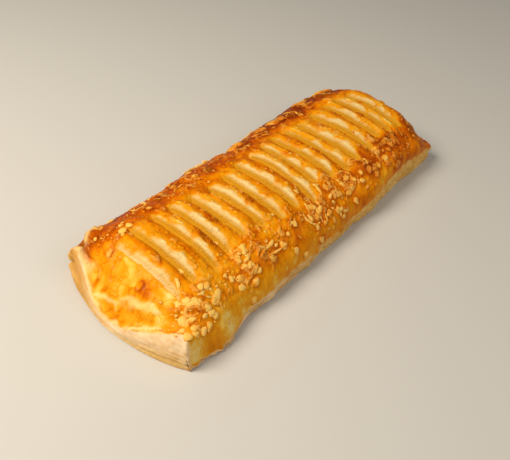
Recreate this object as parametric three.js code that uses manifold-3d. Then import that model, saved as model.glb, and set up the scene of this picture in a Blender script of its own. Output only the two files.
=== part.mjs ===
// Cheese pastry: one bar of puff pastry, baked with slits across its top and grated cheese
// melted onto the egg glaze. It is one solid, with the cheese fused to the crust.
// Millimetres, +Z up. +X runs from the pinched near end to the far end, -Y is the front long
// side, and the origin is the centre of the flat base.
import * as THREE from "three";
import { mergeVertices } from "three/addons/utils/BufferGeometryUtils.js";
import Module from "manifold-3d";

// Driving dimensions of the bar.
const halfLength = 81;
const frontHalfWidth = 28.7;
const backHalfWidth = 29.2;
const domeHeight = 21.4;
const farRise = 1.9;             // the far third puffed higher
const nearRim = 3.6;             // thickness where the near end was pressed shut, at its middle
const nearCorner = 12.4;         // its corners stayed thick
const farRim = 8;
const farCorner = 9.6;
const nearBow = 6.4;             // how far the middle of an end stands out past its corners
const farBow = 5;
const bowLength = 24;            // how far from an end the sides bend in
const bowPower = 2.2;
const rimSetback = 3.3;          // the near end's face leans out from its rim down to the base
const setbackLength = 14;
const nearRamp = 21;             // length over which the crust climbs from the end to the dome
const farRamp = [15, 19];        // at the middle of the far end and at its corners
const nearClimb = 1.15;          // powers of the climb: above 1 starts gently, below 1 steeply
const farClimb = [0.93, 1.2];
const wallBulge = 0.7;
const baseInset = 0.7;           // the underside is rounded in from the wall
const leafGroove = 0.9;          // groove between the two leaves of dough in the pale wall
const cornerSplit = 1.6;         // the leaves gape at the back corner of the near end

// Bulges and dents of the two long sides: place along the bar, half length, how far out.
const frontBulges = [[-63, 8, 2], [-47, 5, -0.6], [28, 9, 0.6], [49, 7, -0.7]];
const backBulges = [
  [-71, 8, 0.9], [-56, 6, 0.6], [-42, 8, -0.3], [0, 4, -1.8], [42, 22, 0.8], [52, 14, 1.2],
];

// The slits, counted from the near end.
const slitPitch = 8.1;
const firstSlit = -67.1;
const slitDrift = [
  0.6, -0.4, 1, 0, 0.3, 0.9, 0.8, 1.2, 1.9, 0.6, 0.6, 0.4, -0.8, 0.9, 1.5, 0.7, -0.4,
];
const frontReach = [
  16.6, 15.2, 15.8, 14.8, 13.2, 14.8, 16.7, 16.4, 17.9, 13.2, 15.6, 17.3, 17.3, 17.5, 14.7, 16.3,
  16.9,
];
const backReach = [
  13, 13.1, 13.7, 13.1, 11.6, 10.4, 10.7, 12.5, 13.4, 13, 14.4, 14.4, 12.4, 12.9, 12.1, 12.2, 10,
];
const endSlitShare = [0.55, 0.8]; // the first and the last slit opened less than the others
const slitDepth = 2.8;           // from a strip's crest down to the bottom of the slit
const slitTaper = 5;             // length over which a slit fades out at its ends
const stripLean = 0.8;           // a strip of crust leans down towards the next slit

// Grated cheese that is large enough to stand out.
const crumbTries = 900;
const crumbCount = 74;
const crumbRadius = [0.8, 1.7];
const shredCount = 12;
const shredLength = 7;
const shredWidth = 1.1;

// Sampling of the solid.
const stepsAcross = 22;
const wallRows = 4;
const slitPhases = [0, 0.2, 0.42, 0.7, 0.93];
const endSteps = 7;

const clamp = THREE.MathUtils.clamp;
const mix = THREE.MathUtils.lerp;
const smooth = (low, high, x) => THREE.MathUtils.smoothstep(x, low, high);
const hump = (x, centre, width) => Math.exp(-(((x - centre) / width) ** 2));
const scatter = (n, salt) => {
  const s = Math.sin(n * 12.9898 + salt * 78.233) * 43758.5453;
  return s - Math.floor(s);
};

const slitCount = slitDrift.length;
const slits = slitDrift.map((drift, i) => firstSlit + i * slitPitch + drift);
const stripEdges = [slits[0] - slitPitch, ...slits, slits[slitCount - 1] + slitPitch];

// Outline of the bar in plan, with its bulges and dents.
const bulged = (x, bulges) =>
  bulges.reduce((sum, [place, length, out]) => sum + out * hump(x, place, length), 0);
const frontWidth = (x) => frontHalfWidth + bulged(x, frontBulges) + 0.25 * Math.sin(0.31 * x);
const backWidth = (x) => backHalfWidth + bulged(x, backBulges) + 0.3 * Math.sin(0.27 * x + 1);

// Height where the glazed crust ends and the pale wall of dough begins.
const frontSeam = (x) =>
  2 + 4 * smooth(-60, -30, x) + 5.5 * smooth(5, 50, x) - 2.6 * smooth(58, 80, x);
const backSeam = (x) => 8.4 + 0.9 * Math.sin(0.05 * x + 1);

// Slow swells of the crust.
const unevenness = (x, y) =>
  0.35 * Math.sin(0.11 * x + 1.3) * Math.sin(0.13 * y + 0.7) +
  0.22 * Math.sin(0.29 * x - 0.21 * y + 2) + 0.15 * Math.sin(0.41 * y + 0.53 * x);

// How fully a slit is open at y: 1 along its length, fading to 0 at both ends.
function slitOpening(index, y) {
  if (index < 0 || index >= slitCount) return 0;
  const front = -frontReach[index];
  const back = backReach[index];
  const share = { 0: endSlitShare[0], [slitCount - 1]: endSlitShare[1] }[index] ?? 1;
  return share * smooth(front - 0.6 * slitTaper, front + 0.4 * slitTaper, y) *
    (1 - smooth(back - 0.4 * slitTaper, back + 0.6 * slitTaper, y));
}

// Height of the strips and slits against the smooth dome. From one slit to the next the cut
// face rises from the bottom to a crest, and the glazed strip then leans down to the next.
function slitRelief(x, y) {
  const next = stripEdges.findIndex((edge) => edge > x);
  if (next < 1) return 0;
  const phase = (x - stripEdges[next - 1]) / (stripEdges[next] - stripEdges[next - 1]);
  const cutFace = -slitDepth * (1 - smooth(-0.12, 0.44, phase));
  const lean = -stripLean * smooth(0.45, 0.95, phase);
  const drop = -(slitDepth - stripLean) * smooth(0.88, 1.02, phase);
  return slitOpening(next - 2, y) * cutFace + slitOpening(next - 1, y) * (lean + drop);
}

// Where a lies across the bar: the share of the half width, and the share of the dome's height.
function acrossDome(a) {
  const angle = (Math.PI / 2) * (a - 0.25 * a * (1 - a * a));
  return [Math.sign(angle) * Math.abs(Math.sin(angle)) ** 0.91, Math.abs(Math.cos(angle))];
}

// How far the rim of the near end is set back from its base, across the end.
const setback = (across) =>
  rimSetback * smooth(0.1, 0.8, Math.abs(across)) * (1 - 0.8 * smooth(0.84, 1, Math.abs(across)));

// A point of the glazed crust: t runs along the bar and a across it, both from -1 to 1. Every
// cross-section is a rounded dome, and near an end it turns into the pressed shape that is
// thin in the middle and thick at the corners.
function crustPoint(t, a) {
  const [across, dome] = acrossDome(a);
  const side = Math.abs(across);
  const straightX = t * halfLength;
  const fromNear = halfLength + straightX;
  const fromFar = halfLength - straightX;
  const y = across * (a < 0 ? frontWidth(straightX) : backWidth(straightX));
  const bow = nearBow * (1 - smooth(0, bowLength, fromNear)) -
    farBow * (1 - smooth(0, bowLength, fromFar));
  const x = straightX + bow * side ** bowPower +
    setback(across) * (1 - smooth(0, setbackLength, fromNear));
  const seam = a < 0 ? frontSeam(x) : backSeam(x);
  const top = domeHeight + farRise * smooth(15, 58, x);
  const domed = seam + (top - seam) * dome;

  const offMiddle = Math.abs(across - 0.1) / (across < 0.1 ? 0.92 : 0.7);
  const near = nearRim + (nearCorner - nearRim) * Math.min(offMiddle ** 1.4, 1.06);
  const far = mix(farRim, farCorner, side ** 2);
  const pressed = mix(seam, t < 0 ? near : far, smooth(0, 0.42, dome));
  const atCorner = smooth(0.4, 0.85, side);
  const ramp = t < 0 ? nearRamp : mix(farRamp[0], farRamp[1], atCorner);
  const power = t < 0 ? nearClimb : mix(farClimb[0], farClimb[1], atCorner);
  const fromEnd = (t < 0 ? fromNear : fromFar) / ramp;
  const climb = Math.sin((Math.PI / 2) * clamp(fromEnd, 0, 1)) ** power;
  const inside = smooth(0, 0.35, dome) * smooth(0, 0.5, fromEnd);
  const z = mix(pressed, domed, climb) + inside * (unevenness(x, y) + slitRelief(x, y));
  return new THREE.Vector3(x, y, z);
}

// A point of the wall that hangs from the crust's edge: down runs from 0 at the crust to 1 at
// the base. Two leaves of dough bulge outward with a groove between them.
function wallPoint(t, a, down) {
  const rim = crustPoint(t, a);
  const [across] = acrossDome(a);
  const outward = new THREE.Vector3(
    Math.sign(rim.x) * Math.abs(rim.x / halfLength) ** 9 / halfLength,
    Math.sign(rim.y) * Math.abs(rim.y / backHalfWidth) ** 9 / backHalfWidth, 0).normalize();
  const groove = leafGroove * (0.6 + 0.4 * Math.sin(0.21 * rim.x + 0.5 * rim.y)) +
    cornerSplit * hump(rim.x, -76, 5) * hump(rim.y, 25, 6);
  const reach = wallBulge * Math.sin(Math.PI * down) - baseInset * down ** 4 -
    groove * hump(down, 0.5, 0.14);
  const fromNear = halfLength * (1 + t);
  const lean = setback(across) * (1 - smooth(0, setbackLength, fromNear)) * down ** 0.7;
  const point = new THREE.Vector3(rim.x - lean, rim.y, rim.z * (1 - down));
  return point.addScaledVector(outward, reach);
}

// Sampling along the bar: the steps of every slit, with a few more towards each end.
function stationsAlong() {
  const inSlits = slits.flatMap((from, i) =>
    slitPhases.map((phase) => mix(from, stripEdges[i + 2], phase) / halfLength));
  const last = inSlits[inSlits.length - 1];
  const near = Array.from({ length: endSteps }, (_, k) => mix(-1, inSlits[0], k / endSteps));
  const far = Array.from({ length: endSteps }, (_, k) => mix(1, last, (k / endSteps) ** 1.4));
  return [...near, ...inSlits, ...far.reverse()];
}

// The bar: the crust as a grid, the wall around it, and the flat base.
function pastryGeometry() {
  const stations = stationsAlong();
  const columns = Array.from({ length: stepsAcross + 1 }, (_, j) => (2 * j) / stepsAcross - 1);
  const rows = columns.length;
  const points = [];
  const index = [];
  const quad = (a, b, c, d) => index.push(a, b, c, a, c, d);
  for (const t of stations)
    for (const a of columns) points.push(crustPoint(t, a));
  for (let i = 0; i + 1 < stations.length; i++)
    for (let j = 0; j < stepsAcross; j++)
      quad(i * rows + j, (i + 1) * rows + j, (i + 1) * rows + j + 1, i * rows + j + 1);

  const end = stations.length - 1;
  const rim = [];
  for (let i = 0; i < end; i++) rim.push([i, 0]);
  for (let j = 0; j < stepsAcross; j++) rim.push([end, j]);
  for (let i = end; i > 0; i--) rim.push([i, stepsAcross]);
  for (let j = stepsAcross; j > 0; j--) rim.push([0, j]);

  let above = rim.map(([i, j]) => i * rows + j);
  for (let row = 1; row <= wallRows; row++) {
    const below = rim.map(([i, j]) =>
      points.push(wallPoint(stations[i], columns[j], row / wallRows)) - 1);
    for (let k = 0; k < rim.length; k++) {
      const next = (k + 1) % rim.length;
      quad(above[k], below[k], below[next], above[next]);
    }
    above = below;
  }

  const outline = above.map((k) => new THREE.Vector2(points[k].x, points[k].y));
  for (const [a, b, c] of THREE.ShapeUtils.triangulateShape(outline, []))
    index.push(above[a], above[c], above[b]);
  const geometry = new THREE.BufferGeometry().setFromPoints(points);
  geometry.setIndex(index);
  return geometry;
}

// Where the cheese fell: thickly on the front shoulder, less on the back one, thinly between
// the slits and hardly at all down the sides.
function cheeseDensity(x, y) {
  const frontShoulder = hump(y, -20, 5.5);
  const backShoulder = 0.75 * hump(y, 21, 5.5);
  const strips = 0.22 * hump(y, 0, 14);
  const clearEnds = smooth(-76, -62, x) * (1 - smooth(68, 76, x));
  return (frontShoulder + backShoulder + strips) * clearEnds * (0.75 + 0.35 * Math.sin(0.16 * x + 0.9));
}

// Evenly spread places on the crust that the density accepts, with the crust's normal there.
function cheesePlaces(count, salt) {
  const places = [];
  for (let n = 1; n < crumbTries && places.length < count; n++) {
    const t = 2 * ((n * 0.7548776662 + salt * 0.37) % 1) - 1;
    const a = 2 * ((n * 0.5698402910 + salt * 0.61) % 1) - 1;
    const at = crustPoint(t, a);
    if (scatter(n, salt) > cheeseDensity(at.x, at.y)) continue;
    const along = crustPoint(t + 0.012, a).sub(at);
    const across = crustPoint(t, a + 0.03).sub(at);
    places.push({ n, t, a, at, normal: along.cross(across).normalize() });
  }
  return places;
}

// Stands a piece's +Z along the crust's normal, turned about it and sunk a little way in.
function settle(geometry, place, turn, sink) {
  const up = new THREE.Vector3(0, 0, 1);
  const stand = new THREE.Quaternion().setFromUnitVectors(up, place.normal);
  const spin = new THREE.Quaternion().setFromAxisAngle(up, turn);
  const at = place.at.clone().addScaledVector(place.normal, -sink);
  return geometry.applyMatrix4(
    new THREE.Matrix4().compose(at, stand.multiply(spin), new THREE.Vector3(1, 1, 1)));
}

function crumb(place) {
  const radius = mix(crumbRadius[0], crumbRadius[1], scatter(place.n, 3) ** 1.6);
  const long = 1 + 0.5 * scatter(place.n, 5);
  const geometry = new THREE.IcosahedronGeometry(radius, 0).scale(long, 1, 0.8);
  return settle(geometry, place, 6.28 * scatter(place.n, 7), 0.15 * radius);
}

// A shred of grated cheese: a thin rod that lies along an arc on the crust.
function shred(place) {
  const reach = (shredLength / 2) * (0.7 + 0.6 * scatter(place.n, 11));
  const curl = 0.5 + 1.4 * scatter(place.n, 13);
  const turn = 6.28 * scatter(place.n, 17);
  const lie = Array.from({ length: 6 }, (_, k) => {
    const bend = curl * (k / 2.5 - 1);
    const along = (reach / curl) * Math.sin(bend);
    const aside = (reach / curl) * (1 - Math.cos(bend));
    const dt = (along * Math.cos(turn) - aside * Math.sin(turn)) / halfLength;
    const da = (along * Math.sin(turn) + aside * Math.cos(turn)) / backHalfWidth;
    return crustPoint(place.t + dt, place.a + da).addScaledVector(place.normal, 0.15);
  });
  const section = new THREE.Shape().absellipse(0, 0, shredWidth / 2, shredWidth / 2, 0, 2 * Math.PI);
  const extrudePath = new THREE.CatmullRomCurve3(lie);
  return new THREE.ExtrudeGeometry(section, { steps: 5, curveSegments: 3, extrudePath });
}

const wasm = await Module();
wasm.setup();

function solidFrom(geometry) {
  for (const name of ["normal", "uv"]) geometry.deleteAttribute(name);
  const merged = mergeVertices(geometry, 1e-4);
  return new wasm.Manifold(new wasm.Mesh({
    numProp: 3,
    vertProperties: new Float32Array(merged.attributes.position.array),
    triVerts: new Uint32Array(merged.index.array),
  }));
}

function geometryFrom(solid) {
  const { vertProperties, triVerts } = solid.getMesh();
  const geometry = new THREE.BufferGeometry();
  geometry.setAttribute("position", new THREE.BufferAttribute(new Float32Array(vertProperties), 3));
  geometry.setIndex(new THREE.BufferAttribute(new Uint32Array(triVerts), 1));
  geometry.computeVertexNormals();
  return geometry;
}

const cheese = [
  ...cheesePlaces(shredCount, 2).map(shred),
  ...cheesePlaces(crumbCount, 1).map(crumb),
];
const joined = cheese.reduce(
  (solid, piece) => solid.add(solidFrom(piece)), solidFrom(pastryGeometry()));
// Air caught under a bent shred is filled in: only the outer skin is kept.
const bar = joined.decompose().reduce((one, other) => (one.volume() > other.volume() ? one : other));

const bakedCrust = new THREE.MeshStandardMaterial({ color: 0xd98418, roughness: 0.42, metalness: 0 });
const pastry = new THREE.Mesh(geometryFrom(bar), bakedCrust);
pastry.name = "pastry";

const cheesePastry = new THREE.Group();
cheesePastry.add(pastry);
export default cheesePastry;
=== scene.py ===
import math

import bpy
import numpy as np
from mathutils import Matrix, Vector


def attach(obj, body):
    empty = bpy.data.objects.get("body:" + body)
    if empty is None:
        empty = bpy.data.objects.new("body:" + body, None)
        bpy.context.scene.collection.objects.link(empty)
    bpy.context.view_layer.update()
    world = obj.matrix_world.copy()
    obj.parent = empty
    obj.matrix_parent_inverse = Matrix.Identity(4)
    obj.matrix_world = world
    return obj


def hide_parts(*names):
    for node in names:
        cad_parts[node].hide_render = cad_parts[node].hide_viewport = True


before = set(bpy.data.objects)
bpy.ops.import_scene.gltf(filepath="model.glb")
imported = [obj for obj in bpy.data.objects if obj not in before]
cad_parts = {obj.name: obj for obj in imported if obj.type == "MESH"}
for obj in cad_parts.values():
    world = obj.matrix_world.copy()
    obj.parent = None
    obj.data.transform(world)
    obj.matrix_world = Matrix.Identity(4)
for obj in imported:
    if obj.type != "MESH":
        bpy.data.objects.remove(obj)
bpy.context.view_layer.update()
mm = 0.001

# The photograph's camera, in millimetres and degrees, and the studio around the bar.
camera = {
    "azimuth": -54.18, "elevation": 44.29, "roll": 6.85,
    "distance": 202.5, "target": (-21.2, -8.3, 8.8),
    "lens": 39.53, "sensor": 36.0,
}


def placeCamera(settings):
    az, el, roll = (math.radians(settings[key]) for key in ("azimuth", "elevation", "roll"))
    back = Vector((math.sin(az) * math.cos(el), -math.cos(az) * math.cos(el), math.sin(el)))
    level = Vector((0, 0, 1)).cross(back).normalized()
    rise = back.cross(level)
    right = level * math.cos(roll) + rise * math.sin(roll)
    up = rise * math.cos(roll) - level * math.sin(roll)
    spot = Vector(settings["target"]) * mm + back * settings["distance"] * mm
    data = bpy.data.cameras.new("photoCamera")
    data.lens = settings["lens"]
    data.sensor_width = settings["sensor"]
    data.clip_start = 0.005
    rig = bpy.data.objects.new("photoCamera", data)
    rig.matrix_world = Matrix((
        (right.x, up.x, back.x, spot.x), (right.y, up.y, back.y, spot.y),
        (right.z, up.z, back.z, spot.z), (0, 0, 0, 1)))
    bpy.context.scene.collection.objects.link(rig)
    bpy.context.scene.camera = rig


placeCamera(camera)
print("camera placed")


# Ramps and bumps that every shape below uses.
def smooth(low, high, x):
    u = np.clip((x - low) / (high - low), 0, 1)
    return u * u * (3 - 2 * u)


def hump(x, centre, width):
    return np.exp(-(((x - centre) / width) ** 2))


def mix(one, other, share):
    return one + (other - one) * share


def scatter(n, salt):  # the fractional part of a large sine, from 0 to 1
    s = np.sin(n * 12.9898 + salt * 78.233) * 43758.5453
    return s - np.floor(s)


def ripple(u, v, size, seed, waves=16):  # sum of plane waves of about one size, in seeded directions
    rng = np.random.default_rng(seed)
    heading = rng.uniform(0, 2 * np.pi, waves)
    pace = 2 * np.pi / size * rng.uniform(0.6, 1.5, waves)
    start = rng.uniform(0, 2 * np.pi, waves)
    total = np.zeros(np.broadcast(u, v).shape)
    for k in range(waves):
        total += np.cos(pace[k] * (u * np.cos(heading[k]) + v * np.sin(heading[k])) + start[k])
    return total / math.sqrt(waves / 2)


# The bar's form, in millimetres: the same driving sizes as its solid.
bar = {
    "halfLength": 81.0, "frontHalfWidth": 28.7, "backHalfWidth": 29.2,
    "domeHeight": 21.4, "farRise": 1.9,
    "nearRim": 3.6, "nearCorner": 12.4, "farRim": 8.0, "farCorner": 9.6,
    "nearBow": 6.4, "farBow": 5.0, "bowLength": 24.0, "bowPower": 2.2,
    "rimSetback": 3.3, "setbackLength": 14.0,
    "nearRamp": 21.0, "farRamp": (15.0, 19.0), "nearClimb": 1.15, "farClimb": (0.93, 1.2),
    "frontBulges": ((-63, 8, 2), (-47, 5, -0.6), (28, 9, 0.6), (49, 7, -0.7)),
    "backBulges": ((-71, 8, 0.9), (-56, 6, 0.6), (-42, 8, -0.3), (0, 4, -1.8), (42, 22, 0.8), (52, 14, 1.2)),
    "wallBulge": 0.7, "baseInset": 0.7, "leafGroove": 0.9, "cornerSplit": 1.6,
    "stations": 420, "endStations": 24, "columns": 160, "wallRows": 18,
}
slit = {
    "pitch": 8.1, "first": -67.1, "depth": 2.8, "taper": 5.0, "lean": 0.8,
    "drift": (0.6, -0.4, 1, 0, 0.3, 0.9, 0.8, 1.2, 1.9, 0.6, 0.6, 0.4, -0.8, 0.9, 1.5, 0.7, -0.4),
    "front": (16.6, 15.2, 15.8, 14.8, 13.2, 14.8, 16.7, 16.4, 17.9, 13.2, 15.6, 17.3, 17.3, 17.5, 14.7,
              16.3, 16.9),
    "back": (13, 13.1, 13.7, 13.1, 11.6, 10.4, 10.7, 12.5, 13.4, 13, 14.4, 14.4, 12.4, 12.9, 12.1,
             12.2, 10),
    "endShare": (0.55, 0.8),
}
slitCount = len(slit["drift"])
slitAt = slit["first"] + slit["pitch"] * np.arange(slitCount) + np.array(slit["drift"])
stripEdges = np.concatenate([[slitAt[0] - slit["pitch"]], slitAt, [slitAt[-1] + slit["pitch"]]])
slitFront = np.array(slit["front"], float)
slitBack = np.array(slit["back"], float)
slitShare = np.ones(slitCount)
slitShare[[0, -1]] = slit["endShare"]


def bulged(x, bulges):
    return sum(out * hump(x, place, length) for place, length, out in bulges)


def frontWidth(x):
    return bar["frontHalfWidth"] + bulged(x, bar["frontBulges"]) + 0.25 * np.sin(0.31 * x)


def backWidth(x):
    return bar["backHalfWidth"] + bulged(x, bar["backBulges"]) + 0.3 * np.sin(0.27 * x + 1)


def frontSeam(x):  # height where the glazed crust ends and the pale wall of dough begins
    return 2 + 4 * smooth(-60, -30, x) + 5.5 * smooth(5, 50, x) - 2.6 * smooth(58, 80, x)


def backSeam(x):
    return 8.4 + 0.9 * np.sin(0.05 * x + 1)


def unevenness(x, y):
    return (0.35 * np.sin(0.11 * x + 1.3) * np.sin(0.13 * y + 0.7)
            + 0.22 * np.sin(0.29 * x - 0.21 * y + 2) + 0.15 * np.sin(0.41 * y + 0.53 * x))


def slitOpening(index, y):  # 1 along a slit, fading to 0 past both of its ends
    known = ((index >= 0) & (index < slitCount)) * slitShare[np.clip(index, 0, slitCount - 1)]
    k = np.clip(index, 0, slitCount - 1)
    front, back, taper = -slitFront[k], slitBack[k], slit["taper"]
    opened = smooth(front - 0.6 * taper, front + 0.4 * taper, y)
    return known * opened * (1 - smooth(back - 0.4 * taper, back + 0.6 * taper, y))


def stripPhase(x):  # the slit before x, and how far along x lies from it to the next one, 0 to 1
    k = np.clip(np.searchsorted(stripEdges, x, side="right") - 1, 0, slitCount)
    phase = (x - stripEdges[k]) / (stripEdges[k + 1] - stripEdges[k])
    return k - 1, np.clip(phase, 0, 1)


# Height of the strips and slits against the dome: the cut face swells up from the slit's foot to a
# crest, and the glazed strip leans down to the next slit.
def slitRelief(x, y):
    before, phase = stripPhase(x)
    cutFace = -slit["depth"] * (1 - smooth(-0.12, 0.44, phase))
    lean = -slit["lean"] * smooth(0.45, 0.95, phase)
    foot = slit["depth"] * (1 - smooth(-0.12, 0.44, 0))
    drop = -(foot - slit["lean"]) * smooth(0.72 - 0.44 * (before < 0), 1, phase)
    return slitOpening(before, y) * cutFace + slitOpening(before + 1, y) * (lean + drop)


def acrossDome(a):  # share of the half width, and share of the dome's height
    angle = (np.pi / 2) * (a - 0.25 * a * (1 - a * a))
    return np.sign(angle) * np.abs(np.sin(angle)) ** 0.91, np.abs(np.cos(angle))


def setback(across):  # how far the near rim stands back from its base
    side = np.abs(across)
    return bar["rimSetback"] * smooth(0.1, 0.8, side) * (1 - 0.8 * smooth(0.84, 1, side))


# The crust as a function of t along the bar and a across it, both from -1 to 1: a domed section
# that turns, near an end, into the pressed section with its thin middle and thick corners.
def crustPoint(t, a):
    t, a = np.broadcast_arrays(np.asarray(t, float), np.asarray(a, float))
    across, dome = acrossDome(a)
    side = np.abs(across)
    straightX = t * bar["halfLength"]
    fromNear, fromFar = bar["halfLength"] + straightX, bar["halfLength"] - straightX
    y = across * np.where(a < 0, frontWidth(straightX), backWidth(straightX))
    bow = (bar["nearBow"] * (1 - smooth(0, bar["bowLength"], fromNear))
           - bar["farBow"] * (1 - smooth(0, bar["bowLength"], fromFar)))
    x = (straightX + bow * side ** bar["bowPower"]
         + setback(across) * (1 - smooth(0, bar["setbackLength"], fromNear)))
    seam = np.where(a < 0, frontSeam(x), backSeam(x))
    top = bar["domeHeight"] + bar["farRise"] * smooth(15, 58, x)
    domed = seam + (top - seam) * dome
    offMiddle = np.abs(across - 0.1) / np.where(across < 0.1, 0.92, 0.7)
    near = bar["nearRim"] + (bar["nearCorner"] - bar["nearRim"]) * np.minimum(offMiddle ** 1.4, 1.06)
    far = mix(bar["farRim"], bar["farCorner"], side ** 2)
    pressed = mix(seam, np.where(t < 0, near, far), smooth(0, 0.42, dome))
    atCorner = smooth(0.4, 0.85, side)
    ramp = np.where(t < 0, bar["nearRamp"], mix(bar["farRamp"][0], bar["farRamp"][1], atCorner))
    power = np.where(t < 0, bar["nearClimb"], mix(bar["farClimb"][0], bar["farClimb"][1], atCorner))
    fromEnd = np.where(t < 0, fromNear, fromFar) / ramp
    climb = np.sin((np.pi / 2) * np.clip(fromEnd, 0, 1)) ** power
    inside = smooth(0, 0.35, dome) * smooth(0, 0.5, fromEnd)
    z = mix(pressed, domed, climb) + inside * (unevenness(x, y) + slitRelief(x, y))
    return np.stack([x, y, z], -1)


def crustNormal(t, a):
    here = crustPoint(t, a)
    along = crustPoint(t + 0.012, a) - here
    across = crustPoint(t, a + 0.03) - here
    normal = np.cross(along, across)
    return normal / np.linalg.norm(normal, axis=-1, keepdims=True)


# Grated cheese: the places come from one even sequence that a density accepts or leaves out.
cheese = {
    "tries": 900, "crumbs": 74, "crumbRadius": (0.8, 1.7), "shreds": 12, "shredLength": 7.0,
    "shredWidth": 1.1, "fineTries": 6000, "fineCrumbs": 260, "fineRadius": (0.35, 0.75),
    "fineShreds": 9, "girth": 38.0, "blisters": ((3.0, 51, 1.0), (1.9, 61, 0.9)),
}


def cheeseDensity(x, y):
    shoulders = hump(y, -20, 5.5) + 0.75 * hump(y, 21, 5.5)
    clearEnds = smooth(-76, -62, x) * (1 - smooth(68, 76, x))
    return (shoulders + 0.22 * hump(y, 0, 14)) * clearEnds * (0.75 + 0.35 * np.sin(0.16 * x + 0.9))


def clumps(x, y):  # grated cheese falls in clumps: 1 inside one, 0 on the bare glaze between them
    return np.maximum(smooth(-0.5, 0.6, ripple(x, y, 9.0, 29)), hump(x, -66, 8) * hump(y, -22, 6))


def cheesePlaces(tries, count, salt, corner=None):
    n = np.arange(1, tries)
    t = 2 * ((n * 0.7548776662 + salt * 0.37) % 1) - 1
    a = 2 * ((n * 0.5698402910 + salt * 0.61) % 1) - 1
    at = crustPoint(t, a)
    density = cheeseDensity(at[:, 0], at[:, 1])
    if corner is not None:
        density = density * clumps(at[:, 0], at[:, 1]) + corner * hump(at[:, 0], -66, 9) * hump(at[:, 1], -22, 6)
        density = density * (np.abs(a) < 0.86)
    kept = scatter(n, salt) <= density
    return n[kept][:count], t[kept][:count], a[kept][:count]


def placeOnCrust(x, y):  # t and a of the crust point above x, y, by repeated correction
    x, y = np.asarray(x, float), np.asarray(y, float)
    t, a = x / bar["halfLength"], y / bar["backHalfWidth"]
    for _ in range(40):
        at = crustPoint(t, a)
        t = np.clip(t + 0.8 * (x - at[..., 0]) / bar["halfLength"], -0.995, 0.995)
        a = np.clip(a + 0.6 * (y - at[..., 1]) / bar["backHalfWidth"], -0.93, 0.93)
    return t, a


# A cluster's crumbs lie on a spiral of golden angles that fills its ellipse, each pushed a little aside.
def clusterPlaces(clusters):
    x, y, radius = [], [], []
    for centreX, centreY, reachX, reachY, count, size in clusters:
        n = np.arange(count)
        out = np.sqrt((n + 0.5) / count) * (0.8 + 0.4 * scatter(n + centreX, 51))
        turn = 2.4 * n + centreX + 0.9 * scatter(n + centreY, 52)
        x.append(centreX + reachX * out * np.cos(turn))
        y.append(centreY + reachY * out * np.sin(turn))
        radius.append(size * (0.78 + 0.5 * scatter(n + centreX, 53)))
    return np.concatenate(x), np.concatenate(y), np.concatenate(radius)


# Melted cheese: low blisters in the cells of a jittered grid over the crust. A cell holds one where the
# density beats its random number; each is a round top of its own radius, with a ring at its foot.
def blisterField(t, a, x, size, salt, gain):
    s = a * cheese["girth"]
    u = x + 0.22 * size * ripple(x, s, 1.6 * size, salt + 5)
    v = s + 0.22 * size * ripple(x, s, 1.6 * size, salt + 6)
    lift, top, ring = np.zeros(x.shape), np.zeros(x.shape), np.zeros(x.shape)
    column, row = np.floor(u / size), np.floor(v / size)
    for i in (-1, 0, 1):
        for j in (-1, 0, 1):
            p, q = column + i, row + j
            key = p * 131 + q * 17.3
            centreU = (p + 0.15 + 0.7 * scatter(key, salt)) * size
            centreV = (q + 0.15 + 0.7 * scatter(key, salt + 1)) * size
            radius = size * (0.26 + 0.3 * scatter(key, salt + 2))
            across, _ = acrossDome(np.clip(centreV / cheese["girth"], -1, 1))
            centreY = across * bar["backHalfWidth"]
            density = cheeseDensity(centreU, centreY) * clumps(centreU, centreY)
            present = scatter(key, salt + 3) < gain * density
            gap = np.hypot(u - centreU, v - centreV) / radius
            dome = np.where(present, np.sqrt(np.clip(1 - gap ** 2, 0, 1)), 0)
            tone = 0.55 + 0.45 * scatter(key, salt + 4)
            lift = np.maximum(lift, dome * radius * 0.36)
            top = np.maximum(top, dome * tone)
            ring = np.maximum(ring, present * hump(gap, 1.15, 0.3))
    return lift, top, ring


def cheeseFilm(t, a, x):
    lift, top, ring = np.zeros(x.shape), np.zeros(x.shape), np.zeros(x.shape)
    for size, salt, gain in cheese["blisters"]:
        one = blisterField(t, a, x, size, salt, gain)
        lift, top, ring = (np.maximum(p, q) for p, q in zip((lift, top, ring), one))
    return lift, top, ring * (1 - top)


# The largest crumbs lie in clusters: centre along and across the bar, reach both ways, count and radius.
crumbClusters = (
    (-60.5, 14.5, 3.0, 4.0, 4, 1.25), (-58.5, 27.0, 1.5, 0.3, 2, 1.45), (-64.5, -22.0, 9.0, 6.0, 26, 1.3),
    (-43.5, -22.0, 7.0, 5.5, 9, 1.3), (-42.5, -4.5, 3.5, 7.0, 4, 0.9), (-19.5, -24.0, 5.5, 4.5, 6, 1.2),
    (-4.0, -24.0, 6.5, 5.0, 8, 1.15), (7.0, -26.5, 2.2, 1.5, 5, 1.2), (19.5, -23.0, 5.5, 5.5, 7, 1.25),
    (32.5, -24.5, 3.5, 2.5, 4, 1.25), (46.0, -23.0, 8.0, 5.0, 8, 1.5), (3.5, 24.5, 2.0, 0.8, 2, 2.3),
    (18.5, 23.5, 1.0, 0.8, 2, 2.1), (28.5, 23.0, 3.5, 1.2, 3, 2.0), (47.0, 25.0, 3.5, 0.8, 3, 2.3),
    (63.0, 24.5, 3.0, 2.5, 4, 2.2),
)
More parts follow.
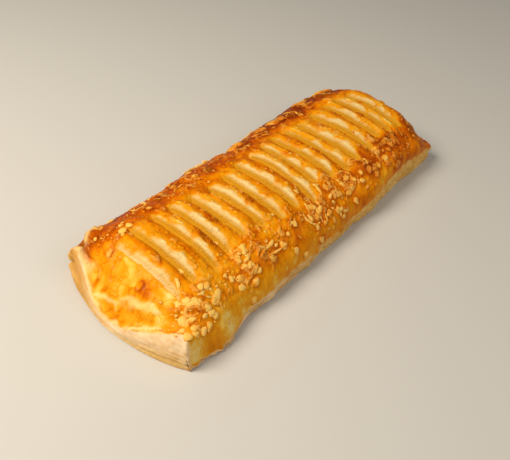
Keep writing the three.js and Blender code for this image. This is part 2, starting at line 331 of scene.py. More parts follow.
# The longest shreds that stand out: each an arc through three places.
bigShreds = {
    "arcs": (
        ((-29.0, -21.0), (-35.0, -22.5), (-26.0, -24.0)), ((25.0, -15.5), (30.5, -18.0), (30.0, -22.5)),
        ((16.5, -16.5), (20.5, -18.5), (18.5, -23.0)), ((-5.5, -16.5), (-6.5, -20.5), (-5.5, -25.0)),
        ((-1.5, -18.5), (-1.0, -22.0), (-2.0, -26.0)), ((-3.5, -17.5), (-3.5, -21.0), (-4.0, -25.5)),
        ((-29.5, -13.5), (-26.5, -15.5), (-25.0, -18.5)), ((11.0, -13.5), (13.5, -17.5), (14.5, -23.0)),
        ((-51.0, 24.5), (-48.0, 27.0), (-45.5, 25.5)), ((-62.0, 27.5), (-67.0, 27.0), (-70.5, 23.5)),
        ((-51.0, 24.5), (-50.5, 21.5), (-47.5, 21.0)), ((-45.5, 25.5), (-45.0, 23.0), (-47.5, 21.0)),
        ((-60.5, -21.0), (-57.5, -23.5), (-58.0, -27.0)), ((-66.5, -19.0), (-63.0, -20.5), (-62.0, -24.5)),
    ),
    "width": 1.0,
}
bigN, bigT, bigA = cheesePlaces(cheese["tries"], cheese["crumbs"], 1)
fineN, fineT, fineA = cheesePlaces(cheese["fineTries"], cheese["fineCrumbs"], 4, 0.8)
low, high = cheese["crumbRadius"]
bigRadius = mix(low, high, scatter(bigN, 3) ** 1.6)
low, high = cheese["fineRadius"]
fineRadius = mix(low, high, scatter(fineN, 3) ** 1.8)
placedX, placedY, placedRadius = clusterPlaces(crumbClusters)
placedT, placedA = placeOnCrust(placedX, placedY)
crumbT = np.concatenate([bigT, placedT, fineT])
crumbA = np.concatenate([bigA, placedA, fineA])
crumbRadius = np.concatenate([bigRadius, placedRadius, fineRadius])
print("cheese placed", len(crumbT))


# Browning around each crumb: nearness to it, in its own radii, falling off like a bell.
def cheeseNearness(points, reach=1.5):
    centres = crustPoint(crumbT, crumbA)
    nearest = np.zeros(len(points))
    for start in range(0, len(centres), 60):
        part = slice(start, start + 60)
        gap = np.linalg.norm(points[:, None, :] - centres[None, part, :], axis=2)
        bell = np.exp(-((gap / (reach * crumbRadius[None, part])) ** 2))
        nearest = np.maximum(nearest, (bell * np.minimum(1, crumbRadius[None, part])).max(axis=1))
    return nearest


def newMesh(name, points, faces):
    mesh = bpy.data.meshes.new(name)
    mesh.from_pydata(points.tolist(), [], faces)
    mesh.polygons.foreach_set("use_smooth", np.ones(len(mesh.polygons), bool))
    mesh.update()
    piece = bpy.data.objects.new(name, mesh)
    bpy.context.scene.collection.objects.link(piece)
    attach(piece, "root")
    return piece


def paint(piece, name, values):
    layer = piece.data.attributes.new(name, "FLOAT", "POINT")
    layer.data.foreach_set("value", np.asarray(values, np.float32))


def gridFaces(rows, columns, start=0, closed=False):  # quads of a grid of points, wrapped if closed
    i, j = np.meshgrid(np.arange(rows - 1), np.arange(columns if closed else columns - 1), indexing="ij")
    k = (j + 1) % columns
    quads = np.stack([i * columns + j, (i + 1) * columns + j, (i + 1) * columns + k, i * columns + k], -1)
    return (quads.reshape(-1, 4) + start)


# The back corner of the near end, where the top sheet drew back behind a thin pale ridge.
corner = {"x": -63.5, "y": 19.5, "radius": 8.2, "drop": 1.1, "ridge": 0.5}

# Spots that baked darker or stayed paler than their surroundings: place, radius and how much.
spots = {
    "browning": (
        (-70.6, -4.6, 1.9, 0.42), (-70.2, -7.4, 1.5, 0.36), (-76.0, 12.4, 0.9, 0.42), (-76.1, 7.4, 0.8, 0.26),
        (-77.5, 3.6, 1.6, 0.24), (-77.6, -1.5, 1.4, 0.2), (-79.5, -4.6, 1.3, 0.26), (-78.5, -7.2, 2.2, -0.08),
        (-71.8, 9.1, 2.0, 0.2), (-71.5, 21.5, 2.2, 0.08), (-65.0, 22.7, 5.0, 0.1), (-66.8, 17.0, 3.0, 0.1),
        (-66.9, 3.3, 3.6, -0.12), (-67.1, -12.1, 3.8, -0.14), (-66.3, 10.7, 3.2, -0.12), (-63.8, -2.9, 1.5, 0.22),
        (-75.0, -17.8, 2.4, 0.14), (3.0, -12.5, 5.0, -0.18), (-74.5, 1.5, 3.0, -0.06),
        (-70.4, 3.0, 2.6, -0.1), (-69.0, -14.5, 2.4, -0.14), (-72.5, 17.0, 2.2, 0.02), (-53.0, 18.5, 8.0, 0.09), (-68.5, 13.5, 2.6, 0.08),
    ),
    # Bubbles that burst and left a brown ring.
    "rings": (
        (-64.0, -3.7, 1.5), (-73.0, -2.2, 1.1), (-70.6, -3.4, 1.3), (-24.0, 3.0, 1.3), (18.0, 4.0, 1.3),
        (52.0, -2.5, 1.6), (-44.4, -9.5, 1.1), (33.0, -6.0, 1.4), (-21.5, -4.5, 1.2),
    ),
    # Folds and toasted streaks of the near end: three points, half width, browning, lift, rim colour.
    "streaks": (
        ((-71.6, -7.7), (-70.9, -12.7), (-69.5, -17.1), 1.1, 0.2, -0.1, 0.0),
        ((-75.6, 0.5), (-74.4, -6.2), (-72.6, -13.0), 1.5, -0.2, 0.45, 0.55),
        ((-76.6, -3.5), (-75.9, -8.5), (-74.4, -13.6), 0.6, 0.14, -0.2, 0.0),
        ((-79.8, -8.6), (-76.6, -12.6), (-73.2, -19.0), 0.75, -0.1, 0.4, 0.85),
        ((-64.2, 8.9), (-62.7, 1.9), (-63.6, -7.8), 1.2, 0.16, 0.0, 0.0),
        ((-78.8, 11.0), (-77.2, 6.0), (-78.2, 0.5), 0.8, -0.14, 0.3, 0.6),
        ((-77.6, 3.0), (-76.6, 0.5), (-76.8, -3.0), 0.7, -0.08, 0.2, 0.2),
        ((-74.0, 14.0), (-73.2, 10.0), (-74.6, 5.5), 0.8, 0.14, -0.2, 0.0),
        ((-79.9, 3.0), (-79.2, -2.0), (-79.0, -7.0), 0.45, 0.14, -0.15, 0.0),
    ),
}


def warped(x, y):  # places shifted by a soft ripple, so that spots and streaks lose their even outline
    return x + 0.4 * ripple(x, y, 6.5, 31), y + 0.4 * ripple(x, y, 6.5, 32)


def spotSum(x, y):
    x, y = warped(x, y)
    return sum(amount * np.exp(-((x - px) ** 2 + (y - py) ** 2) / radius ** 2)
               for px, py, radius, amount in spots["browning"])


def streakSums(x, y):  # browning, lift and rim colour of the streaks, by nearness to each curve
    brown, lift, pale = np.zeros(x.shape), np.zeros(x.shape), np.zeros(x.shape)
    x, y = warped(x, y)
    for start, middle, end, width, amount, rise, rim in spots["streaks"]:
        gap = np.full(x.shape, 99.0)
        for u in np.linspace(0, 1, 15):
            pull = [2 * m - 0.5 * (p + q) for p, m, q in zip(start, middle, end)]
            at = [(1 - u) ** 2 * p + 2 * u * (1 - u) * c + u * u * q for p, c, q in zip(start, pull, end)]
            gap = np.minimum(gap, np.hypot(x - at[0], y - at[1]) / (0.35 + 2.6 * u * (1 - u)))
        bell = hump(gap, 0, width)
        brown, lift, pale = brown + amount * bell, lift + rise * bell, np.maximum(pale, rim * smooth(0.25, 0.8, bell))
    return brown, lift, pale


def ringSum(x, y):
    return sum(np.exp(-((np.hypot(x - px, y - py) / radius - 1) / 0.28) ** 2)
               for px, py, radius in spots["rings"])


def cornerGap(x, y):  # distance past the top sheet's rounded edge, only near that corner
    return np.hypot(np.minimum(x - corner["x"], 0), np.maximum(y - corner["y"], 0)) - corner["radius"]


def slitSpindle(index, y):  # 1 at a slit's middle, falling off in an ellipse to 0 at both of its ends
    k = np.clip(index, 0, slitCount - 1)
    middle, half = (slitBack[k] - slitFront[k]) / 2, (slitBack[k] + slitFront[k]) / 2 + 1.5
    return np.sqrt(np.clip(1 - ((y - middle) / half) ** 2, 0, 1))


def cutShare(x, y):  # how much of the pale cut face shows at a point, and how near it is to its foot
    before, phase = stripPhase(x)
    opened, openedNext = slitOpening(before, y), slitOpening(before + 1, y)
    width = 0.25 + 0.1 * scatter(before, 27) + 0.06 * ripple(x * 0.1, y, 10.0, 15)
    limit = (width + 0.025 * ripple(x, y, 3.2, 16)) * slitSpindle(before, y) ** 0.7
    cut = smooth(0.1, 0.8, opened) * (1 - smooth(limit - 0.14, limit + 0.16, phase))
    foot = (opened * (1 - smooth(0.0, 0.25, phase)) * (before != 0)
            + openedNext * smooth(0.84, 0.98, phase) * (before >= 0))
    return cut, np.clip(foot, 0, 1), opened, phase


# Fine relief of the crust: soft wrinkles, the cut faces' grain, the folds of the pressed end, its rim
# and the step of the back corner.
def crustDetail(t, a, points):
    x, y = points[..., 0], points[..., 1]
    across, dome = acrossDome(a)
    fromNear = bar["halfLength"] * (1 + t)
    cut, foot, opened, phase = cutShare(x, y)
    wrinkles = 0.09 * ripple(x, y, 6.0, 11) + 0.05 * ripple(x, y, 2.4, 12)
    grain = 0.06 * np.sin(2 * np.pi * phase * 8 + 1.2 * ripple(x * 0.3, y, 12.0, 13)) * cut
    swell = 0.42 * np.sin(np.pi * np.clip(phase / 0.5, 0, 1)) * opened
    shadedValley = 0.35 * foot
    nearEnd = 1 - smooth(15, 24, fromNear)
    bend = fromNear - 1.4 * np.sin(3.1 * across + 0.8)
    folds = nearEnd * (0.1 * ripple(x, y, 9.0, 14) - 0.22 * hump(bend, 3.4, 0.9) + 0.16 * hump(bend, 5.4, 1.1)
                       + streakSums(x, y)[1])
    rings = 0.22 * ringSum(x, y)
    ridge = 0.3 * hump(fromNear, 0.8, 0.7) * (1 - smooth(0.82, 0.95, np.abs(across)))
    gap = cornerGap(x, y)
    atCorner = (1 - smooth(-62, -56, x)) * smooth(14, 20, y)
    step = atCorner * (corner["ridge"] * hump(gap, -0.5, 0.7) * smooth(21, 25, y)
                       - corner["drop"] * smooth(0.0, 0.9, gap))
    edgeFade = smooth(0, 0.12, dome)
    return ((wrinkles * (1 - 0.5 * cut) + grain + swell + shadedValley + folds + rings) * edgeFade
            + ridge + step * smooth(0, 0.1, dome))


# The wall that hangs from the crust's edge: down runs from 0 at the crust to 1 at the base, and two
# leaves of dough, made of thinner ones, bulge outward with a groove between them.
def wallPoint(t, a, down):
    rim = crustPoint(t, a)
    rim[..., 2] += crustDetail(t, a, rim)
    across, _ = acrossDome(a)
    out = np.zeros_like(rim)
    for axis, half in ((0, bar["halfLength"]), (1, bar["backHalfWidth"])):
        out[..., axis] = np.sign(rim[..., axis]) * np.abs(rim[..., axis] / half) ** 9 / half
    out /= np.linalg.norm(out, axis=-1, keepdims=True)
    x, y = rim[..., 0], rim[..., 1]
    groove = (bar["leafGroove"] * (0.6 + 0.4 * np.sin(0.21 * x + 0.5 * y))
              + bar["cornerSplit"] * hump(x, -76, 5) * hump(y, 25, 6))
    length = x - 1.3 * y
    height = rim[..., 2] * (1 - down)
    fromNear = bar["halfLength"] * (1 + t)
    nearFace = (1 - smooth(0.3, 3, fromNear)) * (1 - smooth(0.9, 1.0, np.abs(across)))
    wander = 0.5 * ripple(length, 0 * length, 30.0, 21) + 0.15 * ripple(length, 0.5 * height, 9.0, 22)
    leaf = (height / 2.3 + wander) % 1
    inside = np.sin(np.pi * np.clip(down, 0, 1)) ** 0.5
    leaves = inside * (1 - 0.85 * nearFace) * (0.6 * leaf ** 1.5 - 0.24 + 0.22 * ripple(length, height, 4.0, 23))
    crack = (0.9 * hump(down, 0.78, 0.14) - 2.6 * hump(down, 0.47, 0.12)) * hump(x, -76, 5) * hump(y, 25, 5)
    lip = 0.6 * (1 - smooth(0.9, 1.5, height)) * nearFace
    reach = (bar["wallBulge"] * np.sin(np.pi * down) - bar["baseInset"] * down ** 4
             - groove * (1 - 0.7 * nearFace) * hump(down, 0.5, 0.12) + leaves + crack + lip)
    lean = setback(across) * (1 - smooth(0, bar["setbackLength"], fromNear)) * down ** 0.7
    point = rim.copy()
    point[..., 0] -= lean
    point[..., 2] = height
    # Painted shade: darker under each leaf of dough and in the corner's crack, and the near end face painted darker
    # towards its back corner.
    paintedShade = inside * (1 - smooth(0.05, 0.32, leaf)) * (1 - 0.85 * nearFace) - 0.7 * crack
    depth = 0.3 + 0.8 * smooth(-45, -10, x)
    below = rim[..., 2] * down + 0.5 * depth * ripple(length, 0 * length, 4.5, 24)
    toasted = (1 - smooth(0.0, depth, below)) * (1 - nearFace) * (down < 1)
    paintedShade = 0.7 * paintedShade + 0.75 * smooth(0, 20, y) * nearFace
    return point + out * reach[..., None], np.clip(paintedShade, 0, 1), toasted, nearFace + 0 * toasted


def makeBar():
    ends = np.linspace(0, 0.07, bar["endStations"], endpoint=False)
    t = np.concatenate([-1 + ends, np.linspace(-0.93, 0.93, bar["stations"]), (1 - ends)[::-1]])
    a = np.linspace(-1, 1, bar["columns"])
    rows, columns = len(t), len(a)
    tt, aa = np.meshgrid(t, a, indexing="ij")
    crust = crustPoint(tt, aa)
    detail = crustDetail(tt, aa, crust)
    halo = cheeseNearness(crust.reshape(-1, 3)).reshape(rows, columns)
    normal = crustNormal(tt, aa)
    lift, melt, ring = cheeseFilm(tt, aa, crust[..., 0])
    pale = cutShare(crust[..., 0], crust[..., 1])[0]
    clear = smooth(0.02, 0.2, acrossDome(aa)[1]) * (1 - 0.92 * smooth(0.05, 0.5, pale))
    lift, melt, ring = lift * clear, melt * clear, ring * clear
    crust = crust + normal * (detail + lift + 0.12 * halo * clear)[..., None]
    crust[:, (0, -1), :] = crustPoint(tt[:, (0, -1)], aa[:, (0, -1)])
    crust[:, (0, -1), 2] += crustDetail(tt[:, (0, -1)], aa[:, (0, -1)], crust[:, (0, -1), :])

    edge = np.concatenate([
        np.stack([np.arange(rows - 1), np.zeros(rows - 1, int)], 1),
        np.stack([np.full(columns - 1, rows - 1), np.arange(columns - 1)], 1),
        np.stack([np.arange(rows - 1, 0, -1), np.full(rows - 1, columns - 1)], 1),
        np.stack([np.zeros(columns - 1, int), np.arange(columns - 1, 0, -1)], 1)])
    down = np.linspace(0, 1, bar["wallRows"] + 1)[1:, None]
    down = down + 0.12 * np.sin(np.pi * down)  # rows closer together towards the base
    wallT = np.broadcast_to(t[edge[:, 0]][None, :], (len(down), len(edge)))
    wallA = np.broadcast_to(a[edge[:, 1]][None, :], (len(down), len(edge)))
    wall, paintedShade, toasted, nearFace = wallPoint(wallT, wallA, down)
    rim = crust[edge[:, 0], edge[:, 1]]
    fade = (1 - down) ** 3
    wall = wall + (rim - wallPoint(wallT[:1], wallA[:1], 0 * down[:1])[0][0])[None] * fade[..., None]
    inner = wall[-1] * (0.965, 0.93, 0)
    points = np.concatenate([crust.reshape(-1, 3), wall.reshape(-1, 3), inner, [[0, 0, 0]]])

    around = len(edge)
    first = rows * columns
    step = np.arange(around)
    after = (step + 1) % around
    top = edge[:, 0] * columns + edge[:, 1]
    skirt = np.stack([top, first + step, first + after, top[after]], 1)
    wallFaces = gridFaces(len(down) + 1, around, first, closed=True)
    centre = len(points) - 1
    fan = np.stack([np.full(around, centre), centre - around + after, centre - around + step], 1)
    faces = gridFaces(rows, columns).tolist() + skirt.tolist() + wallFaces.tolist() + fan.tolist()
    piece = newMesh("bakedBar", points * mm, faces)
    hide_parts("pastry")

    # What the finish needs to know of each point.
    x, y = crust[..., 0], crust[..., 1]
    cut, foot, opened, phase = cutShare(x, y)
    openedNext = slitOpening(stripPhase(x)[0] + 1, y)
    sheen = (-0.16 * opened * hump(phase, 0.42, 0.12) + 0.07 * np.maximum(opened, openedNext) * hump(phase, 0.66, 0.13)
             - 0.12 * openedNext * hump(phase, 0.89, 0.08))
    fromNear = bar["halfLength"] * (1 + tt)
    across, dome = acrossDome(aa)
    gap = cornerGap(x, y)
    atCorner = (1 - smooth(-62, -56, x)) * smooth(14, 20, y)
    streakBrown, _, streakPale = streakSums(x, y)
    rimEdge = fromNear + 0.25 * ripple(x, y, 5.0, 18)
    rimLine = (0.8 * (1 - smooth(0.35, 1.2, rimEdge)) * (1 - atCorner) * smooth(0.03, 0.25, dome)
               + 0.8 * atCorner * hump(gap, -0.4, 0.6) * smooth(22, 25, y) + streakPale
               + 0.85 * atCorner * smooth(0.1, 0.8, gap) * (1 - smooth(-73.5, -70.5, x + 0.6 * ripple(x, y, 4.0, 33))))
    shoulder = smooth(12, 21, np.abs(y))
    nearTop = (1 - smooth(-74, -56, x)) * (1 - smooth(14, 24, np.abs(y)))
    middle = (1 - smooth(12, 18, np.abs(y))) * smooth(-64, -56, x)
    brown = (0.44 + 0.02 * shoulder + 0.2 * smooth(-30, 60, x) * shoulder + 0.32 * smooth(11, 21, y) + 0.04 * middle
             + 0.14 * smooth(60, 78, x) - 0.22 * nearTop - 0.12 * smooth(23, 28, -y) * smooth(-70, -58, x) * (1 - smooth(0, 40, x))
             - 0.15 * smooth(12, 18, -y) * (1 - smooth(-50, -36, x))
             - 0.14 * smooth(22, 27, -y) * smooth(0, 50, x) - 0.08 * middle * smooth(10, 40, x)
             - 0.14 * (1 - smooth(-74, -62, x)) * smooth(12, 18, y) + sheen + (0.27 + 0.1 * smooth(-40, 20, x)) * halo
             + 0.06 * smooth(30, 60, x) * smooth(12, 18, -y)
             + 0.12 * ring + spotSum(x, y) + streakBrown + 0.24 * ringSum(x, y) + 0.06 * ripple(x, y, 16.0, 17)
             + 0.04 * ripple(x, y, 5.0, 19))
    nearEdge = 1 - smooth(0.1, 0.5, fromNear)
    gathered = mix(0.2 + 0.8 * clumps(x, y), 1.25, 0.85 * middle)
    speckle = np.clip(0.3 + 0.65 * cheeseDensity(x, y), 0, 0.8) * clear * gathered
    speckle = speckle * (1 - 0.85 * nearTop) * (1 - 0.6 * smooth(22, 26, np.abs(y)))
    zeros = np.zeros(wall.shape[:2])
    tail = np.zeros(len(edge) + 1)

    def spread(onCrust, onWall, onBase):
        return np.concatenate([onCrust.ravel(), np.broadcast_to(onWall, wall.shape[:2]).ravel(), tail + onBase])

    paint(piece, "cutFace", spread(np.clip(cut, 0, 1), zeros, 0))
    # The nearness to each slit's foot goes to the material as painted shade.
    paint(piece, "slitFootShade", spread(foot, zeros, 0))
    paint(piece, "browning", spread(brown, 0.42 + zeros, 0.6))
    paint(piece, "melt", spread(melt, zeros, 0))
    paint(piece, "speckle", spread(speckle, zeros, 0))
    paint(piece, "rimLine", spread(np.clip(rimLine, 0, 1), zeros, 0))
    paint(piece, "layered", spread(nearEdge, 1 - toasted, 1))
    creamy = (1 - 0.5 * smooth(-2, 20, wall[..., 1])) * (1 - 0.85 * smooth(0.3, 0.9, down))
    frontStrip = 0.75 * (1 - smooth(-45, 0, wall[..., 0])) * (wall[..., 1] < -20) * (1 - nearFace)
    paint(piece, "endFace", spread(nearEdge, nearFace * creamy + frontStrip, 0))
    paint(piece, "crinkle", spread(nearTop * (1 - np.clip(cut, 0, 1)), zeros, 0))
    # The wall's painted shade, for the material.
    paint(piece, "paintedShade", spread(0 * x, paintedShade, 0))
    paint(piece, "under", spread(0 * x, smooth(0.97, 1.0, down) + zeros, 1))
    return piece


bakedBar = makeBar()
print("bar made", len(bakedBar.data.polygons))


def toasting(points):  # how much darker the cheese is at the back and towards the far end
    x, y = points[..., 0], points[..., 1]
    back = 0.9 * smooth(6, 16, y) * (0.35 + 0.65 * smooth(-58, -50, x)) * (1 - 0.7 * smooth(20, 25, y))
    return back + 1.2 * smooth(0, 60, x) * (1 - smooth(20, 24, y)) + 0.3 * smooth(-60, -40, x) - 0.4


# Crumbs: lumps of rings between two poles, half sunk in the crust. Their radius swells and shrinks by
# two and three lobes around, each lump turned and stretched its own way.
def crumbLumps(t, a, ids, sides, rings, radii, seed, squat=0.37):
    centre, normal = crustPoint(t, a), crustNormal(t, a)
    side = np.cross(normal, [1.0, 0.3, 0.0])
    side /= np.linalg.norm(side, axis=1, keepdims=True)
    other = np.cross(normal, side)
    level = np.arange(1, rings + 1) / (rings + 1) * np.pi
    around = np.arange(sides) / sides * 2 * np.pi
    flat = np.stack([np.outer(np.sin(level), np.cos(around)), np.outer(np.sin(level), np.sin(around)),
                     np.outer(np.cos(level), np.ones(sides))], -1).reshape(-1, 3)
    unit = np.concatenate([[[0, 0, 1.0]], flat, [[0, 0, -1.0]]])
    count, size = len(ids), len(unit)
    rng = np.random.default_rng(seed)
    angle = np.arctan2(unit[:, 1], unit[:, 0])[None]
    flank = np.hypot(unit[:, 0], unit[:, 1])[None]
    starts = rng.uniform(0, 2 * np.pi, (3, count, 1))
    swell = (1 + 0.13 * flank * np.cos(2 * angle + starts[0]) + 0.07 * flank * np.cos(3 * angle + starts[1])
             + 0.06 * np.cos(4 * unit[:, 2][None] + starts[2]) + rng.uniform(-0.02, 0.02, (count, size)))
    lump = unit[None] * swell[..., None]
    stretch = 1 + 0.35 * scatter(ids, 5)
    lump = lump * np.stack([stretch, 1 / np.sqrt(stretch), squat * (0.8 + 0.4 * scatter(ids, 9))], -1)[:, None]
    turn = 2 * np.pi * scatter(ids, 7)
    c, s = np.cos(turn)[:, None], np.sin(turn)[:, None]
    u, v, w = lump[..., 0] * c - lump[..., 1] * s, lump[..., 0] * s + lump[..., 1] * c, lump[..., 2]
    span = radii[:, None, None]
    points = centre[:, None] + span * (u[..., None] * side[:, None] + v[..., None] * other[:, None]
                                       + w[..., None] * normal[:, None])
    ringFaces = gridFaces(rings, sides, 1, closed=True)
    j = np.arange(sides)
    k = (j + 1) % sides
    topFan = np.stack([np.zeros(sides, int), 1 + j, 1 + k], 1)
    last = 1 + (rings - 1) * sides
    lowFan = np.stack([np.full(sides, size - 1), last + k, last + j], 1)
    offset = (np.arange(count) * size)[:, None, None]
    faces = [*(topFan[None] + offset).reshape(-1, 3).tolist(), *(ringFaces[None] + offset).reshape(-1, 4).tolist(),
             *(lowFan[None] + offset).reshape(-1, 3).tolist()]
    rise = np.broadcast_to((unit[:, 2] * 0.5 + 0.5)[None], (count, size))
    toneOf = np.broadcast_to((scatter(ids, 21) - toasting(centre))[:, None], (count, size))
    return points.reshape(-1, 3), faces, rise.ravel(), toneOf.ravel()


def joined(parts):  # several (points, faces, rise, tone) sets as one
    points, faces, rise, toneOf, start = [], [], [], [], 0
    for p, f, r, k in parts:
        points.append(p)
        faces += [[v + start for v in face] for face in f]
        rise.append(r)
        toneOf.append(k)
        start += len(p)
    return np.concatenate(points), faces, np.concatenate(rise), np.concatenate(toneOf)


# A larger crumb melted into a few knobs: their places lie evenly around its own, closer than its radius.
def knobs(t, a, ids, radii, count=4):
    k = np.arange(count)[None]
    n = (ids[:, None] * 7 + k).astype(float)
    turn = 2 * np.pi * (k / count + 0.16 * scatter(n, 41)) + 6.3 * scatter(ids, 43)[:, None]
    reach = radii[:, None] * (0.4 + 0.3 * scatter(n, 45)) * (k > 0)
    size = radii[:, None] * np.where(k > 0, 0.45 + 0.28 * scatter(n, 47), 0.95)
    knobT = t[:, None] + reach * np.cos(turn) / bar["halfLength"]
    knobA = a[:, None] + reach * np.sin(turn) / cheese["girth"]
    return knobT.ravel(), knobA.ravel(), n.ravel(), size.ravel()


def makeCrumbs():
    placedN = np.arange(len(placedT)) + 7000
    bigKnobs, placedKnobs = knobs(bigT, bigA, bigN, bigRadius), knobs(placedT, placedA, placedN, placedRadius)
    points, faces, rise, toneOf = joined([
        crumbLumps(*bigKnobs[:3], 10, 6, bigKnobs[3], 31),
        crumbLumps(*placedKnobs[:3], 12, 6, placedKnobs[3], 33),
        crumbLumps(fineT, fineA, fineN + 5000, 6, 4, fineRadius, 32)])
    points[:, 2] = np.maximum(points[:, 2], 0.3)
    piece = newMesh("cheeseCrumbs", points * mm, faces)
    paint(piece, "rise", rise)
    paint(piece, "tone", toneOf)
    return piece


# Shreds: a tube of uneven width laid on the crust along a line, thinner at both ends, half sunk in.
def shredTubes(t, a, ids, halfWidth, seed, sides=8, section=(1.25, 0.6)):
    rng = np.random.default_rng(seed)
    count, steps = t.shape
    line, normal = crustPoint(t, a), crustNormal(t, a)
    along = np.linspace(0, 1, steps)[None]
    sink = 0.14 * np.sin(2 * np.pi * (1.7 * along + rng.uniform(0, 1, (count, 1))))
    line = line + normal * (sink + 0.06 * rng.uniform(-1, 1, (count, steps)))[..., None]
    tangent = np.gradient(line, axis=1)
    tangent /= np.linalg.norm(tangent, axis=2, keepdims=True)
    side = np.cross(normal, tangent)
    side /= np.linalg.norm(side, axis=2, keepdims=True)
    rise = np.cross(tangent, side)
    u = np.linspace(-1, 1, steps)[None]
    width = halfWidth[:, None] * (1 - 0.7 * np.abs(u) ** 5) * (1 + 0.35 * rng.uniform(-1, 1, (count, steps)))
    angle = np.arange(sides) / sides * 2 * np.pi
    ring = (np.cos(angle)[None, None, :, None] * side[:, :, None] * section[0]
            + np.sin(angle)[None, None, :, None] * rise[:, :, None] * section[1])
    tube = line[:, :, None] + ring * width[:, :, None, None]
    ends = line[:, (0, -1)] + tangent[:, (0, -1)] * (width[:, (0, -1)] * np.array([[-0.5, 0.5]]))[..., None]
    points = np.concatenate([tube.reshape(count, -1, 3), ends], 1)
    size = points.shape[1]
    j = np.arange(sides)
    k = (j + 1) % sides
    first = np.stack([np.full(sides, size - 2), k, j], 1)
    lastRow = (steps - 1) * sides
    last = np.stack([np.full(sides, size - 1), lastRow + j, lastRow + k], 1)
    quads = gridFaces(steps, sides, 0, closed=True)
    offset = (np.arange(count) * size)[:, None, None]
    faces = [*(first[None] + offset).reshape(-1, 3).tolist(), *(quads[None] + offset).reshape(-1, 4).tolist(),
             *(last[None] + offset).reshape(-1, 3).tolist()]
    lift = np.broadcast_to(np.concatenate([np.tile(np.sin(angle) * 0.5 + 0.5, steps), [0.5, 0.5]])[None],
                           (count, size))
    toneOf = np.broadcast_to((scatter(ids, 23) - toasting(line[:, steps // 2]))[:, None], (count, size))
    return points.reshape(-1, 3), faces, lift.ravel(), toneOf.ravel()


# A loose shred's line: an arc of its own length and curl, turned its own way about its place.
def arcLines(ids, t, a, steps=14):
    reach = (cheese["shredLength"] / 2 * (0.7 + 0.6 * scatter(ids, 11)))[:, None]
    curl = (0.25 + 0.8 * scatter(ids, 13))[:, None]
    turn = (2 * np.pi * scatter(ids, 17))[:, None]
    bend = curl * np.linspace(-1, 1, steps)[None]
    along, aside = reach / curl * np.sin(bend), reach / curl * (1 - np.cos(bend))
    dt = (along * np.cos(turn) - aside * np.sin(turn)) / bar["halfLength"]
    da = (along * np.sin(turn) + aside * np.cos(turn)) / bar["backHalfWidth"]
    return np.clip(t[:, None] + dt, -0.97, 0.97), np.clip(a[:, None] + da, -0.97, 0.97)


def placedLines(arcs, steps=18):  # a curve through each arc's start, middle and end
    start, middle, end = np.moveaxis(np.array(arcs), 1, 0)[..., None]
    pull = 2 * middle - 0.5 * (start + end)
    u = np.linspace(0, 1, steps)
    line = (1 - u) ** 2 * start + 2 * u * (1 - u) * pull + u ** 2 * end
    return placeOnCrust(line[:, 0], line[:, 1])


def makeShreds():
    n, t, a = cheesePlaces(cheese["tries"], cheese["shreds"], 2)
    fine, fineShredT, fineShredA = cheesePlaces(2500, cheese["fineShreds"], 6)
    placed = np.arange(len(bigShreds["arcs"])) + 8000
    half = cheese["shredWidth"] / 2
    points, faces, rise, toneOf = joined([
        shredTubes(*arcLines(n, t, a), n, half * (0.8 + 0.4 * scatter(n, 19)), 41),
        shredTubes(*arcLines(fine + 9000, fineShredT, fineShredA), fine + 9000,
                   half * (0.5 + 0.5 * scatter(fine, 19)), 42),
        shredTubes(*placedLines(bigShreds["arcs"]), placed,
                   bigShreds["width"] / 2 * (0.8 + 0.3 * scatter(placed, 19)), 43)])
    piece = newMesh("cheeseShreds", points * mm, faces)
    paint(piece, "rise", rise)
    paint(piece, "tone", toneOf)
    return piece


# Thin leaves of dough that stand off the back side: each line's tube is narrow and
# tall, so that its upper half stands on the crust like a ragged edge.
flakes = {
    "lines": (
        ((-16.0, 27.5), (-12.0, 27.5), (-8.0, 27.5)), ((-22.5, 27.0), (-18.0, 27.5), (-11.0, 27.5)),
        ((-6.5, 27.0), (-2.0, 27.5), (3.0, 27.0)), ((12.0, 28.0), (16.0, 28.0), (21.0, 28.0)),
    ),
    "heights": (1.3, 0.9, 0.6, 0.6), "section": (0.18, 1.0),
}


def makeFlakes():
    ids = np.arange(len(flakes["lines"])) + 9500
    points, faces, rise, toneOf = shredTubes(*placedLines(flakes["lines"], 26), ids, np.array(flakes["heights"]), 44,
                                             section=flakes["section"])
    piece = newMesh("doughFlakes", points * mm, faces)
    paint(piece, "rise", rise)
    paint(piece, "tone", np.clip(toneOf, 0, 1))
    return piece


cheeseCrumbs = makeCrumbs()
cheeseShreds = makeShreds()
doughFlakes = makeFlakes()
print("cheese made", len(cheeseCrumbs.data.polygons), len(cheeseShreds.data.polygons))


# Materials. A colour is written as it looks on screen and turned into the linear one here.
def tint(code):
    parts = [int(code[k:k + 2], 16) / 255 for k in (1, 3, 5)]
    return tuple(c / 12.92 if c <= 0.04045 else ((c + 0.055) / 1.055) ** 2.4 for c in parts) + (1.0,)


def addNode(tree, kind, **settings):  # settings named in_X go to input X, or are linked if a socket
    node = tree.nodes.new(kind)
    for key, value in settings.items():
        if not key.startswith("in_"):
            setattr(node, key, value)
    for key, value in settings.items():
        if key.startswith("in_"):
            name = key[3:]
            target = node.inputs[int(name)] if name.isdigit() else node.inputs[name.replace("_", " ")]
            if isinstance(value, bpy.types.NodeSocket):
                tree.links.new(value, target)
            else:
                target.default_value = value
    return node


def maths(tree, operation, first, second=0.0, third=0.0, clamp=False):
    return addNode(tree, "ShaderNodeMath", operation=operation, use_clamp=clamp,
                   in_0=first, in_1=second, in_2=third).outputs[0]


def blendColor(tree, share, one, other):
    node = addNode(tree, "ShaderNodeMix", data_type="RGBA", in_0=share, in_6=one, in_7=other)
    return node.outputs[2]


def attribute(tree, name):
    return addNode(tree, "ShaderNodeAttribute", attribute_name=name).outputs["Fac"]


